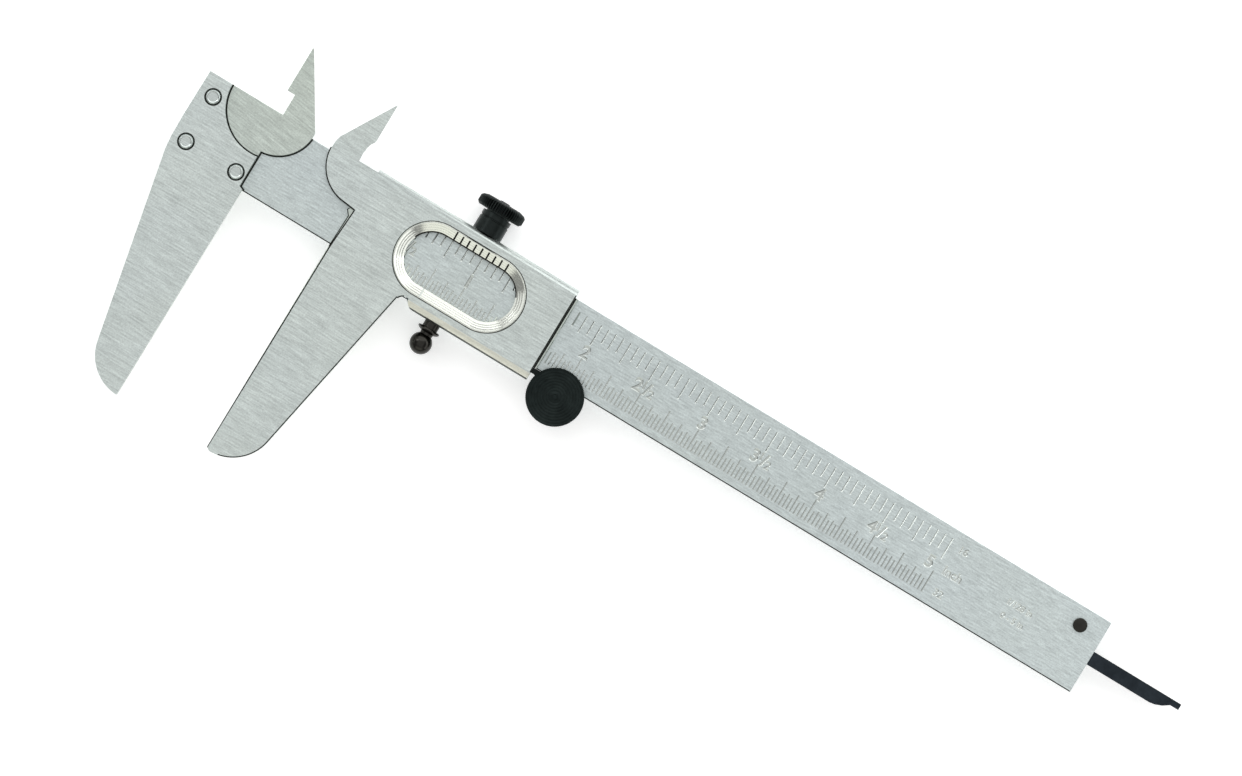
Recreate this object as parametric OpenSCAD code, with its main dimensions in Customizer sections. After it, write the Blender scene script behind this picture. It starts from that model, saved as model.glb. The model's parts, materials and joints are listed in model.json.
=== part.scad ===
// Vernier caliper with laminated head, folded slider, depth rod, thumb roller and lock screw.
// X runs along the beam from the fixed jaw's measuring face, Y across the beam from its
// centreline towards the inside jaws, and Z out of the front face. The back faces lie on Z = 0.

/* [Opening] */
// Gap between the outside jaws, three quarters of an inch as drawn
opening = 19.05; // [0.01:0.01:128.9]

/* [Beam] */
// Width of the beam
beam_w = 15; // [14.5:0.1:15]
// Thickness of the beam
beam_t = 3; // [2.6:0.1:3.2]
// Distance from the fixed jaw's face to the beam's free end
beam_end = 179.6; // [179:0.1:190]
// Width of the depth rod
rod_w = 2.75; // [2:0.05:3]
// Thickness of the depth rod
rod_t = 1.6; // [1:0.1:1.8]

/* [Laminations] */
// Thickness of the head's back plate
back_t = 1; // [0.8:0.1:1.2]
// Thickness of the inner plates
inner_t = 1.1; // [0.9:0.1:1.3]
// Thickness of the outer plates
outer_t = 1.2; // [1:0.1:1.4]
// Play between the slider and the beam on each face
play = 0.05; // [0.03:0.01:0.08]

/* [Head and jaws] */
// Width of the head to the left of the measuring face
head_w = 16.4; // [16:0.1:17]
// Depth of the outside jaws below the beam's centreline
jaw_depth = 51.9; // [50:0.1:55]
// Height of the fixed inside jaw's tip above the centreline
nib_height = 22.1; // [20:0.1:24]
// Radius of the domed rivet heads
rivet_head_r = 1.5; // [1.3:0.05:1.6]

/* [Slider] */
// Length of the slider from the jaw's face to its right edge
slider_len = 44.2; // [43:0.1:45]
// Centre of the window, measured from the moving jaw's face
window_x = 23.8; // [22:0.1:25]
// Half height of the window at the beam
window_r = 5.2; // [4.8:0.1:5.3]
// Distance between the centres of the window's round ends
window_l = 12.1; // [11:0.1:13]

/* [Controls] */
// Radius of the thumb roller's disk
roller_r = 5.5; // [4.5:0.1:6]
// Radius of the roller's hub, which runs on the beam's lower edge
hub_r = 2.68; // [2.5:0.02:2.68]
// Radius of the lock screw's knurled head
lock_head_r = 4.75; // [4:0.05:5]
// Radius of the finger knob's ball
ball_r = 2.15; // [1.8:0.05:2.4]

/* [Hidden] */
$fn = 64;
eps = 0.01;

steel = [0.76, 0.79, 0.785];
bright = [0.86, 0.88, 0.87];
black = [0.12, 0.135, 0.135];
blued = [0.17, 0.2, 0.225];
brass = [0.75, 0.62, 0.35];

// Levels of the stack, from the back
z_beam = back_t;
z_face = z_beam + beam_t;
z_outer = z_face + inner_t;
z_front = z_outer + outer_t;
z_slide_inner = z_face + play;
z_slide_outer = z_outer + play;
z_slide_back = back_t - play;
half_w = beam_w / 2;

// Head
head_top = 8.5;
arc_c = [-2.3, head_top];
arc_r = 9.3;
edge_relief = 0.75;
jaw_root_y = -7.3;
jaw_tip_r = 8.6;
back_plate_end = 3.5;
nib_face_x = -2.4;
nib_notch_y = 12.8;
nib_lobe_c = [-1.35, 8.05];
nib_lobe_r = 7.5;
rivet_r = 1;
rivet_at = [[-13.45, 4.6], [-13.5, -5.05], [-2.65, -5.1]];
rivet_rim = 0.22;
rivet_dome = 0.5;
rivet_sink = 0.5;

// Stop pin and rod keeper
pin_at = [174.75, 4.1];
pin_head_r = 1.35;
pin_r = 1;
pin_proud = 0.9;
keeper_len = 5.5;
keeper_low = -5.5;
keeper_w = 11.7;
keeper_z = 0.15;
keeper_inset = 0.2;

// Slider: folds, walls and pads
wall_t = 0.85;
fold_top = half_w + 1.6;
fold_top_r = 1.5;
fold_low = -(half_w + 2.7);
fold_low_r = 1.6;
wall_start = 6.6;
low_wall_start = 17.8;
plate_edge_x = 0.9;
pad_gap = play;
pads = [[wall_start, 10.5], [37, slider_len]];
back_start = 4.2;
inner_peek = 0.6;
lobe_c = [-1.2, 8.35];
lobe_r = 7.7;
tab_len = 3;
top_tabs = [13, 33];
low_tabs = [20, 38];
front_jaw_set_back = [plate_edge_x / 2, plate_edge_x / 4];

// Window
window_y = -0.32;
bezel_wall = 1.6;
bezel_lip = 1.98;
lip_h = 0.35;
lip_chamfer = 0.15;
bezel_z = z_face + 0.2;
bevel_z = z_face + 1.5;
bevel_w = 1.72;

// Lock
lock_x = 23.9;
lock_z = 3;
shank_r = 1.5;
shank_gap = 0.05;
bush_r = 2.95;
bush_spigot_r = 2;
bush_top = half_w + 5.2;
shoe_len = 23;
shoe_t = 0.43;
shoe_lift = 0.27;
lock_head_low = half_w + 5.5;
lock_head_top = half_w + 8.45;

// Roller and its arm
roller_x = 50.45;
roller_y = -(half_w + 2.7);
arm_top = -(half_w + play);
arm_t = 1.05;
arm_start = 7;
arm_end = 47;
tab_z = 0.5;
tab_t = 0.8;
eye_r = 2.3;
axle_r = 1;
axle_gap = 0.05;
clip_z = 0.12;
clip_t = 0.33;
clip_r = 1.9;
disk_z = z_face + 0.25;
disk_t = 2.45;

// Finger knob and gib spring
knob_z = 2.6;
knob_r = 0.8;
spring_half = 14.5;
spring_t = 0.18;
spring_rise = 0.47;
spring_low = 1.5;
spring_high = 3.9;

// Depth rod
rod_y = -0.125;
rod_start = 20;
rod_foot = 14;
rod_z = z_beam + 0.05;
groove_gap = 0.1;
groove_lift = 0.25;
groove_lead = 2;
rod_tip_h = 1.2;
rod_rivets = [23, 31];
rod_rivet_r = 0.8;

// Points of an arc about c from angle a to angle b
function arc(c, r, a, b, n = 20) =
    [for (i = [0:n]) let (t = a + (b - a) * i / n) c + r * [cos(t), sin(t)]];

// A list's items in the opposite order
function reversed(list) = [for (i = [len(list) - 1:-1:0]) list[i]];

// Centre height of the bowed spring at distance x from its middle
function bow(x) = -(half_w + 1.7) + spring_rise * (1 - pow(x / spring_half, 2));

// Points of the bowed spring's edge, offset by d
function bow_edge(d) = [for (i = [-12:12]) let (x = spring_half * i / 12) [x, bow(x) + d]];

// Flat plate with the given outline between two levels
module plate(points, z0, z1)
    translate([0, 0, z0]) linear_extrude(z1 - z0) polygon(points);

// Round bar along Z from z0 to z1
module post(at, r, z0, z1)
    translate([at[0], at[1], z0]) cylinder(r = r, h = z1 - z0);

// Places a shape made about Z so that its Z runs along +Y from the given X and Z
module along_y(x, z)
    translate([x, 0, z]) rotate([-90, 0, 0]) children();

// Slot with round ends, length l between centres
module slot(l, r, z0, z1) {
    for (s = [-1, 1]) post([s * l / 2, 0], r, z0, z1);
    translate([-l / 2, -r, z0]) cube([l, 2 * r, z1 - z0]);
}

// Slot whose half width changes from r0 at z0 to r1 at z1
module flared_slot(l, r0, r1, z0, z1) {
    for (s = [-1, 1])
        translate([s * l / 2, 0, z0]) cylinder(r1 = r0, r2 = r1, h = z1 - z0);
    translate([-l / 2, 0, 0]) rotate([90, 0, 90])
        linear_extrude(l) polygon([[-r0, z0], [r0, z0], [r1, z1], [-r1, z1]]);
}

// Left edge and tip of the fixed jaw, from the middle of the head's left side down to the tip
function fixed_left() = concat(
    [[-head_w - 0.1, -1], [-head_w, -5.5], [-head_w + 0.25, -8], [-head_w + 0.75, -10.5]],
    arc([0, -jaw_depth + jaw_tip_r], jaw_tip_r, 192, 268.5));

function fixed_outer_outline() = concat(
    [[-head_w, head_top]],
    fixed_left(),
    [[0, jaw_root_y], [-edge_relief, jaw_root_y + 0.3]],
    arc(arc_c, arc_r, -80.7, -180));

function fixed_inner_outline() = concat(
    [[-head_w, head_top]],
    fixed_left(),
    [[0, jaw_root_y], [-edge_relief, jaw_root_y + 0.3], [-edge_relief, 0.58]],
    arc(nib_lobe_c, nib_lobe_r, -85, 4),
    [[nib_face_x + 0.15, nib_height], [nib_face_x, nib_height - 0.3],
     [nib_face_x, nib_notch_y], [-edge_relief, nib_notch_y], [-edge_relief, head_top]]);

// Moving jaw from the root of its measuring edge round the tip to its slanted right edge.
// The measuring edge is set back by one distance at its root and another at its tip.
function moving_jaw(set_back) = concat(
    [[set_back[0], -half_w - 0.4], [set_back[1], -jaw_depth + 0.4]],
    arc([0.8, -jaw_depth + jaw_tip_r], jaw_tip_r, 270, 348),
    [[15.85, -9.6]],
    arc([17.5, -10.2], 1.6, 158, 90, 6));

function slider_front_outline() = concat(
    [[nib_face_x - 0.1, 21], [-6.8, 13.6]],
    arc(lobe_c, lobe_r, 163.5, 268, 28),
    [[plate_edge_x, 0.35]],
    moving_jaw(front_jaw_set_back),
    [[slider_len, -8.7], [slider_len, head_top - 0.5], [plate_edge_x, head_top],
     [-3.25, head_top], [-3.35, 10], [-3.2, 11.3], [-3, 12.1], [nib_face_x - 0.1, 12.9],
     [nib_face_x, 13.2], [nib_face_x, 20.8]]);

function moving_inner_outline() = concat(
    [[0.2, -1.3], [-0.6, -0.3], [-0.35, 0.15]],
    arc(nib_lobe_c, nib_lobe_r + 0.35, -76, -4),
    [[slider_len + inner_peek, half_w], [slider_len + inner_peek, -half_w]],
    [[slider_len, -half_w], [slider_len, fold_low + wall_t], [low_wall_start + 1.4, fold_low + wall_t],
     [low_wall_start + 0.4, -8.75]],
    reversed(moving_jaw([0, 0])));

// Cross-section of the slider's folded body, as [Y, Z] points
function fold_section() = concat(
    arc([fold_top - fold_top_r, z_front - fold_top_r], fold_top_r, 90, 0, 12),
    [[fold_top, z_slide_back], [fold_top - wall_t, z_slide_back], [fold_top - wall_t, z_slide_outer],
     [fold_low + wall_t, z_slide_outer], [fold_low + wall_t, z_slide_back], [fold_low, z_slide_back]],
    arc([fold_low + fold_low_r, z_front - fold_low_r], fold_low_r, 180, 90, 12));

// Plan of the folded body: the low fold starts in a rounded corner
function fold_plan() = concat(
    [[plate_edge_x, fold_top], [plate_edge_x, -8.6], [low_wall_start, -8.6]],
    arc([low_wall_start + 1.8, -8.4], 1.8, 187, 270, 8),
    [[slider_len, fold_low], [slider_len, fold_top]]);

module beam() color(steel) difference() {
    translate([-head_w, -half_w, z_beam]) cube([beam_end + head_w, beam_w, beam_t]);
    translate([rod_start - groove_lead, rod_y - rod_w / 2 - groove_gap, z_beam - 1])
        cube([beam_end, rod_w + 2 * groove_gap, rod_t + groove_lift + 1]);
    for (p = rivet_at) post(p, rivet_r, 0, z_front);
    post(pin_at, pin_r, 0, z_front);
}

module fixed_back_plate() color(steel) difference() {
    plate([[-head_w, head_top], [-head_w, -half_w], [back_plate_end, -half_w],
           [back_plate_end, half_w], [back_plate_end - 1, head_top]], 0, back_t);
    for (p = rivet_at) {
        post(p, rivet_r, -1, z_front);
        translate([p[0], p[1], 0]) cylinder(r1 = rivet_head_r, r2 = rivet_r, h = rivet_sink);
    }
}

module fixed_inner_plate() color(steel) difference() {
    plate(fixed_inner_outline(), z_face, z_outer);
    for (p = rivet_at) post(p, rivet_r, 0, z_front);
}

module fixed_outer_plate() color(steel) difference() {
    plate(fixed_outer_outline(), z_outer, z_front);
    for (p = rivet_at) post(p, rivet_r, 0, z_front + 1);
}

// Rivet with a domed head in front, closed flush in a countersink behind
module head_rivet(p) color(bright) translate([p[0], p[1], 0]) rotate_extrude()
    polygon(concat([[0, 0], [rivet_head_r, 0], [rivet_r, rivet_sink], [rivet_r, z_front],
                    [rivet_head_r, z_front], [rivet_head_r, z_front + rivet_rim]],
                   [for (t = [30, 55, 80]) [rivet_head_r * cos(t),
                                            z_front + rivet_rim + (rivet_dome - rivet_rim) * sin(t)]],
                   [[0, z_front + rivet_dome]]));

module stop_pin() color(black) {
    post(pin_at, pin_r, keeper_z, z_face + eps);
    post(pin_at, pin_head_r, z_face, z_face + pin_proud);
}

module rod_keeper() color(steel) difference() {
    translate([beam_end - keeper_len - keeper_inset, keeper_low, keeper_z])
        cube([keeper_len, keeper_w, z_beam - keeper_z]);
    post(pin_at, pin_r, 0, z_front);
}

module slider_front() color(steel) translate([opening, 0, 0]) difference() {
    union() {
        plate(slider_front_outline(), z_slide_outer, z_front);
        difference() {
            intersection() {
                plate(fold_plan(), 0, z_front);
                rotate([90, 0, 90]) linear_extrude(slider_len + 1) polygon(fold_section());
            }
            translate([-1, 0, -1]) cube([wall_start + 1, 20, z_slide_outer + 1]);
        }
        for (p = pads)
            translate([p[0], half_w + pad_gap, z_slide_back])
                cube([p[1] - p[0], fold_top - wall_t - half_w - pad_gap + eps, z_slide_outer - z_slide_back]);
        for (x = top_tabs) translate([x, fold_top - wall_t, 0]) cube([tab_len, wall_t, back_t]);
        for (x = low_tabs) translate([x, fold_low, 0]) cube([tab_len, wall_t, back_t]);
    }
    translate([window_x, window_y, 0]) slot(window_l, window_r + bezel_wall, 0, z_front + 1);
    along_y(lock_x, lock_z) cylinder(r = bush_spigot_r, h = 20);
    along_y(lock_x, knob_z) translate([0, 0, -20]) cylinder(r = knob_r, h = 20);
}

module moving_inner_plate() color(steel) translate([opening, 0, 0]) difference() {
    plate(moving_inner_outline(), z_slide_inner, z_slide_outer);
    translate([window_x, window_y, 0]) slot(window_l, window_r + bezel_wall, 0, z_front + 1);
}

module slider_back() color(steel) translate([opening, 0, 0]) difference() {
    plate([[back_start, fold_top], [back_start, -half_w], [low_wall_start - 2, -half_w],
           [low_wall_start + 1, fold_low], [slider_len, fold_low], [slider_len, fold_top]], 0, z_slide_back);
    for (x = top_tabs) translate([x, fold_top - wall_t, -1]) cube([tab_len, wall_t + 1, 3]);
    for (x = low_tabs) translate([x, fold_low - 1, -1]) cube([tab_len, wall_t + 1, 3]);
    for (x = rod_rivets) post([x, rod_y], rod_rivet_r, -1, 3);
}

// Raised rim: a straight wall from the beam's face, then a shallow bevel up to the lip
module window_bezel() color(bright) translate([opening + window_x, window_y, 0]) {
    lip_z = z_front + lip_h;
    difference() {
        union() {
            slot(window_l, window_r + bezel_wall, bezel_z, lip_z - lip_chamfer);
            slot(window_l, window_r + bezel_lip, z_front, lip_z - lip_chamfer);
            flared_slot(window_l, window_r + bezel_lip, window_r + bezel_lip - lip_chamfer,
                        lip_z - lip_chamfer, lip_z);
        }
        slot(window_l, window_r, bezel_z - 1, z_front);
        flared_slot(window_l, window_r, window_r + bevel_w, bevel_z, lip_z + eps);
    }
}

module roller_arm() color(black) translate([opening, 0, 0]) difference() {
    union() {
        translate([arm_start, arm_top - arm_t, z_beam + play])
            cube([arm_end - arm_start, arm_t, beam_t - play]);
        translate([slider_len + inner_peek + 0.1, arm_top - arm_t, tab_z])
            cube([arm_end - slider_len - inner_peek - 0.1, arm_t, beam_t]);
        plate([[slider_len + inner_peek + 0.1, arm_top], [roller_x, roller_y + eye_r],
               [roller_x, roller_y - eye_r], [slider_len + inner_peek + 0.1, arm_top - arm_t]],
              tab_z, tab_z + tab_t);
        post([roller_x, roller_y], eye_r, tab_z, tab_z + tab_t);
    }
    post([roller_x, roller_y], axle_r + axle_gap, 0, 3);
    along_y(lock_x, knob_z) translate([0, 0, -20]) cylinder(r = knob_r, h = 20 + arm_top - 0.15);
}

module gib_spring() color(blued) translate([opening + lock_x, 0, 0]) difference() {
    plate(concat(bow_edge(-spring_t / 2), reversed(bow_edge(spring_t / 2))), spring_low, spring_high);
    along_y(0, knob_z) translate([0, 0, -20]) cylinder(r = knob_r + 0.1, h = 20);
}

// Stud, neck, flared collar and ball, turned about the Y axis
module finger_knob() color(black) along_y(opening + lock_x, knob_z) {
    rotate_extrude() polygon([
        [0, arm_top - 0.2], [knob_r, arm_top - 0.2], [knob_r, fold_low], [1.55, fold_low],
        [1.55, fold_low - 1.1], [2.15, fold_low - 1.25], [2.25, fold_low - 1.5],
        [1.95, fold_low - 1.85], [1.3, fold_low - 2.1], [1.2, fold_low - 2.6], [0, fold_low - 2.6]]);
    translate([0, 0, fold_low - 4.3]) sphere(r = ball_r);
}

module lock_bushing() color(black) along_y(opening + lock_x, lock_z) difference() {
    union() {
        translate([0, 0, fold_top - wall_t + 0.02]) cylinder(r = bush_spigot_r, h = 3);
        translate([0, 0, fold_top]) cylinder(r = bush_r, h = bush_top - fold_top);
    }
    cylinder(r = shank_r + shank_gap, h = 20);
}

// Flat rod with a foot for its rivets and a relieved tip
module depth_rod() color(blued) difference() {
    tip_x = beam_end + opening;
    union() {
        plate([[opening + rod_start, rod_y - rod_w / 2],
               [tip_x - 5.35, rod_y - rod_w / 2], [tip_x - 4.3, rod_y - rod_w / 2 + 0.18],
               [tip_x - 3, rod_y - rod_w / 2 + 0.7], [tip_x - 2.1, rod_y + rod_w / 2 - rod_tip_h - 0.25],
               [tip_x - 1.75, rod_y + rod_w / 2 - rod_tip_h],
               [tip_x, rod_y + rod_w / 2 - rod_tip_h], [tip_x, rod_y + rod_w / 2],
               [opening + rod_start, rod_y + rod_w / 2]], rod_z, rod_z + rod_t);
        translate([opening + rod_start, rod_y - rod_w / 2, z_slide_back])
            cube([rod_foot, rod_w, 0.5]);
    }
    for (x = rod_rivets) post([opening + x, rod_y], rod_rivet_r, 0, rod_z + rod_t - 0.4);
}

module rod_rivet(x) color(bright)
    post([opening + x, rod_y], rod_rivet_r, 0, rod_z + rod_t - 0.4);

module thumb_roller() color(black) difference() {
    union() {
        post([opening + roller_x, roller_y], roller_r, disk_z, disk_z + disk_t);
        post([opening + roller_x, roller_y], hub_r, tab_z + tab_t + play, disk_z + eps);
    }
    post([opening + roller_x, roller_y], axle_r, 0, disk_z + 1);
}

module roller_axle() color(bright)
    post([opening + roller_x, roller_y], axle_r, clip_z, disk_z + 1);

// Retaining ring with an open side
module axle_clip() color(blued) difference() {
    post([opening + roller_x, roller_y], clip_r, clip_z, clip_z + clip_t);
    post([opening + roller_x, roller_y], axle_r, 0, 3);
    translate([opening + roller_x - 0.5, roller_y - clip_r - 1, 0]) cube([1, clip_r + 1, 3]);
}

module lock_shoe() color(brass)
    translate([opening + lock_x - shoe_len / 2, half_w + shoe_lift, z_beam + 0.3])
        cube([shoe_len, shoe_t, beam_t - 0.6]);

// Shank and knurled, crowned head, turned about the Y axis
module lock_screw() color(black) along_y(opening + lock_x, lock_z) rotate_extrude() polygon([
    [0, half_w + shoe_lift + shoe_t], [shank_r, half_w + shoe_lift + shoe_t],
    [shank_r, lock_head_low], [bush_r, lock_head_low],
    [lock_head_r - 0.5, lock_head_low + 0.35], [lock_head_r, lock_head_low + 0.9],
    [lock_head_r, lock_head_top - 0.95], [lock_head_r - 0.35, lock_head_top - 0.5],
    [3.2, lock_head_top - 0.15], [0, lock_head_top]]);

beam();
fixed_back_plate();
fixed_inner_plate();
fixed_outer_plate();
head_rivet(rivet_at[0]);  // head_rivet_1
head_rivet(rivet_at[1]);  // head_rivet_2
head_rivet(rivet_at[2]);  // head_rivet_3
stop_pin();
rod_keeper();
slider_front();
moving_inner_plate();
slider_back();
window_bezel();
roller_arm();
gib_spring();
finger_knob();
lock_bushing();
depth_rod();
rod_rivet(rod_rivets[0]);  // rod_rivet_1
rod_rivet(rod_rivets[1]);  // rod_rivet_2
thumb_roller();
roller_axle();
axle_clip();
lock_shoe();
lock_screw();
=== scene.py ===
"""Looks of the vernier caliper: satin steel laminations, stamped inch scales and black controls."""
import json
import math

import bmesh
import bpy
from mathutils import Matrix, Vector

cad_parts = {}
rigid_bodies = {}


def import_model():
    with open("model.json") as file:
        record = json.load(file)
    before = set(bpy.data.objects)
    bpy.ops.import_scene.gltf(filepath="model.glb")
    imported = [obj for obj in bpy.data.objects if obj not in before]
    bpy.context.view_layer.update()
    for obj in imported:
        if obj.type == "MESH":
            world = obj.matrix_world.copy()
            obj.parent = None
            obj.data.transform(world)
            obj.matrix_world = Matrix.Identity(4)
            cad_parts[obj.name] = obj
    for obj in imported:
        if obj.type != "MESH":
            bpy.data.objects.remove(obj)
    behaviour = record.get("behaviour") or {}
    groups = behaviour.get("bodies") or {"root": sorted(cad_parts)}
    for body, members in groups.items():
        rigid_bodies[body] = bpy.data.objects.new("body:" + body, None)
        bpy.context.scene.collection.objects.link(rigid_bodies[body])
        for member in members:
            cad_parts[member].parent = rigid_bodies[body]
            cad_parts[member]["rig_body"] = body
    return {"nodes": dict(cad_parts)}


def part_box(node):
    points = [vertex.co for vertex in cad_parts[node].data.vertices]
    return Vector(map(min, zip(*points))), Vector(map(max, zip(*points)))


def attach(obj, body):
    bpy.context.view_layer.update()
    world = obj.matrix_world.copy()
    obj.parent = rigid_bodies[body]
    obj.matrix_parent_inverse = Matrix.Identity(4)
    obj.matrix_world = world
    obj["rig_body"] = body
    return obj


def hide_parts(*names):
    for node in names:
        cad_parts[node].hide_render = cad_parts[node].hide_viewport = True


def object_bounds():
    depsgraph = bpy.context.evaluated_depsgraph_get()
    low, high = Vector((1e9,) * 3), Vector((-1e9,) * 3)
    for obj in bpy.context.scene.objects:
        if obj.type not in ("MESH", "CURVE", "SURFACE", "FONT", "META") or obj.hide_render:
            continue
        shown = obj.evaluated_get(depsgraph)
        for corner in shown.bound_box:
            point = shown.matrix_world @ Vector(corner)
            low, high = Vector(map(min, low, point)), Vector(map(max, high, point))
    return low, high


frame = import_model()
cad_low, cad_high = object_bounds()

# ---------------------------------------------------------------- dimensions, in millimetres
MM = 0.001
INCH = 25.4

# Scale on the beam
SCALE_ZERO = 19.3
SCALE_INCHES = 5
UPPER_START = 5.7
UPPER_ENDS = {16: 2.7, 8: 2.3, 4: 1.3}
LOWER_START = -5.85
LOWER_ENDS = {32: -3.4, 16: -3.0, 8: -2.3, 4: -1.3}
TICK_W = 0.32
TICK_RUN_OUT = 0.25
UPPER_DEPTH = 0.08
LOWER_DEPTH = 0.05

# Lettering: heights, places across the beam and shifts along it
DIGIT_H = 2.4
DIGIT_Y = -0.3
WHOLE_SHIFT = -1.3
HALF_SHIFT = 0.7
LAST_SHIFT = -1.5
HALF_SIZE = 0.65
HALF_TOP = (-0.85, 0.5)
HALF_FOOT = (0.95, -0.5)
UNIT_H = 1.7
UNIT_SHIFT = 3.4
DIVISION_H = 1.4
DIVISION_SHIFT = 2.9
DIVISIONS = (("16", 4.5), ("32", -4.65))
NOTE_H = 1.2
NOTE_X = 163.5
NOTES = (("1/128 in", 1.0), ("0 - 5 in", -1.8))

# Strokes: the first two are shares of the letters' height
FONT_SIZE = 1.4
STROKE_BEVEL = 0.068
STROKE_EXTRUDE = 0.02
STROKE_FLATTENING = 0.55
LETTER_WELD = 0.0001

# Vernier
VERNIER_ZERO = 38.35
VERNIER_STEP = 1.389
VERNIER_LINES = 9
VERNIER_W = 0.34
VERNIER_DEPTH = 0.08
FIRST_LINE = 1.1
OTHER_LINES = 0.86

# Window rim, its grooves and the painted shadow on its upper inner edge as shares of the bevel's width
RIM_INSET = 1.98
RIM_WALL = 1.6
RIM_LIP = 0.35
RIM_FOOT = 1.3
RIM_BEVEL_W = 1.72
RIM_ROUNDING = 0.04
RIM_CHAMFER = 0.15
RIM_GROOVES = (0.78, 0.54, 0.3)
RIM_GROOVE_W = 0.035
RIM_GROOVE_SINK = 0.013
RIM_SHADE_EDGE = 0.14
RIM_SHADE_SIDE = 0.4

# Rounded edges and welding distances
EDGE_BEVEL = 0.18
WELD = 0.001
TURN_WELD = 0.0005
FLAT_ANGLE = 14

# Near-black grooves where one piece lies on another: painted shadow at the foot of each step
SEAM_W = 0.3
SEAM_DEPTH = 0.15
SEAT_INSIDE = 0.15
SEAT_OUTSIDE = 0.16
SEAT_DEPTH = 0.1

# Painted shadow lines: a narrow near-black step on the beam and thin near-black strips on the slider
REBATE_W = 0.22
REBATE_DEPTH = 0.05
BEAM_LOW = -7.4
SHADOW_LINE_T = 0.03
LOBE_SHADOW_W = 0.28
LEFT_SHADOW_W = 0.18
JAW_TIP = 21.5
JAW_ROOT = 0.7
RIGHT_REACH = 0.1

# Low fold of the slider: its place across the beam, and the faces of its bend that get painted light and
# painted shade by the way they face
LOW_FOLD = (-10.4, -8.7)
FOLD_OVERLAP = 0.2
SHEEN_LEAN = (0.6, 0.99)
SHADE_LEAN = (-0.5, 0.6)
FOLD_FACING = Vector((0.7, -0.7))
FACING_MIN = 0.4

# Turned parts
PIN_R = 1.0
AXLE_BORE_R = 1.0
LOCK_SHANK_R = 1.5
LOCK_HEAD_T = 2.95
LOCK_RECESS_R = 2.4
LOCK_RECESS = 0.35

# View; the two heights are in metres
PHOTO_ROLL = math.radians(31.2)
PHOTO_CENTRE = (79.1, -2.38)
PHOTO_WIDTH = 230.5
CAMERA_HEIGHT = 1.2
FACE_HEIGHT = 0.004
SENSOR = 36.0

# Lamps: name, azimuth and elevation in degrees, distance, width and height in metres, radiance, colour
LAMPS = (("overhead", 90, 89.9, 1.8, 2.6, 2.6, 0.51, (1, 1, 1)),
         ("key", 108, 40, 1.2, 1.6, 1.0, 1.2, (1, 1, 1)),
         ("glint", 168, 42, 1.2, 0.3, 0.3, 4.0, (1, 1, 1)),
         ("fill", -80, 28, 1.2, 1.4, 0.7, 0.75, (1, 1, 0.92)),
         ("low_right", 5, 20, 1.2, 1.4, 0.45, 1.1, (1, 1, 1)),
         ("rim", 52, 24, 1.2, 1.0, 0.5, 1.3, (1, 1, 1)),
         ("low_left", 180, 16, 1.2, 1.4, 0.4, 0.8, (1, 1, 1)))
WORLD_LIGHT = 0.3
FLOOR_GLOW = 0.42
FLOOR_GREY = 0.93
FLOOR_HALF = 3.0
FLOOR_X = 0.09


# ---------------------------------------------------------------- materials
def add(tree, kind, inputs=None, **settings):
    """New node with some of its inputs and settings filled in."""
    made = tree.nodes.new(kind)
    for key, value in settings.items():
        setattr(made, key, value)
    for key, value in (inputs or {}).items():
        made.inputs[key].default_value = value
    return made


def new_material(name):
    material = bpy.data.materials.new(name)
    material.use_nodes = True
    tree = material.node_tree
    return material, tree, tree.nodes["Principled BSDF"]


def noise(tree, scale, angle=0.0, detail=3.0, roughness=0.55):
    """Noise over the object's own coordinates, stretched by scale and turned about Z."""
    coords = add(tree, "ShaderNodeTexCoord")
    turn = add(tree, "ShaderNodeMapping", {"Rotation": (0, 0, -angle)})
    stretch = add(tree, "ShaderNodeMapping", {"Scale": scale})
    texture = add(tree, "ShaderNodeTexNoise", {"Scale": 1.0, "Detail": detail, "Roughness": roughness})
    tree.links.new(coords.outputs["Object"], turn.inputs["Vector"])
    tree.links.new(turn.outputs["Vector"], stretch.inputs["Vector"])
    tree.links.new(stretch.outputs["Vector"], texture.inputs["Vector"])
    return texture.outputs["Fac"]


def blend(tree, factor, low, high, span=(0.3, 0.7)):
    """Value that runs from low to high as factor runs over span."""
    made = add(tree, "ShaderNodeMapRange",
               {"From Min": span[0], "From Max": span[1], "To Min": low, "To Max": high})
    tree.links.new(factor, made.inputs["Value"])
    return made.outputs["Result"]


def scaled(tree, first, second):
    made = add(tree, "ShaderNodeMath", operation="MULTIPLY")
    tree.links.new(first, made.inputs[0])
    tree.links.new(second, made.inputs[1])
    return made.outputs["Value"]


def tinted(tree, value, color):
    """Colour multiplied by a grey value."""
    made = add(tree, "ShaderNodeVectorMath", operation="SCALE")
    made.inputs[0].default_value = color
    tree.links.new(value, made.inputs["Scale"])
    return made.outputs["Vector"]


def edge_mask(tree, radius):
    """1 on the flats and lower within radius of an edge."""
    rounded = add(tree, "ShaderNodeBevel", {"Radius": radius}, samples=4)
    geometry = add(tree, "ShaderNodeNewGeometry")
    dot = add(tree, "ShaderNodeVectorMath", operation="DOT_PRODUCT")
    tree.links.new(rounded.outputs["Normal"], dot.inputs[0])
    tree.links.new(geometry.outputs["Normal"], dot.inputs[1])
    return dot.outputs["Value"]


def bumped(tree, shader, height, strength, distance):
    bump = add(tree, "ShaderNodeBump", {"Strength": strength, "Distance": distance})
    tree.links.new(height, bump.inputs["Height"])
    tree.links.new(bump.outputs["Normal"], shader.inputs["Normal"])


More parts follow.
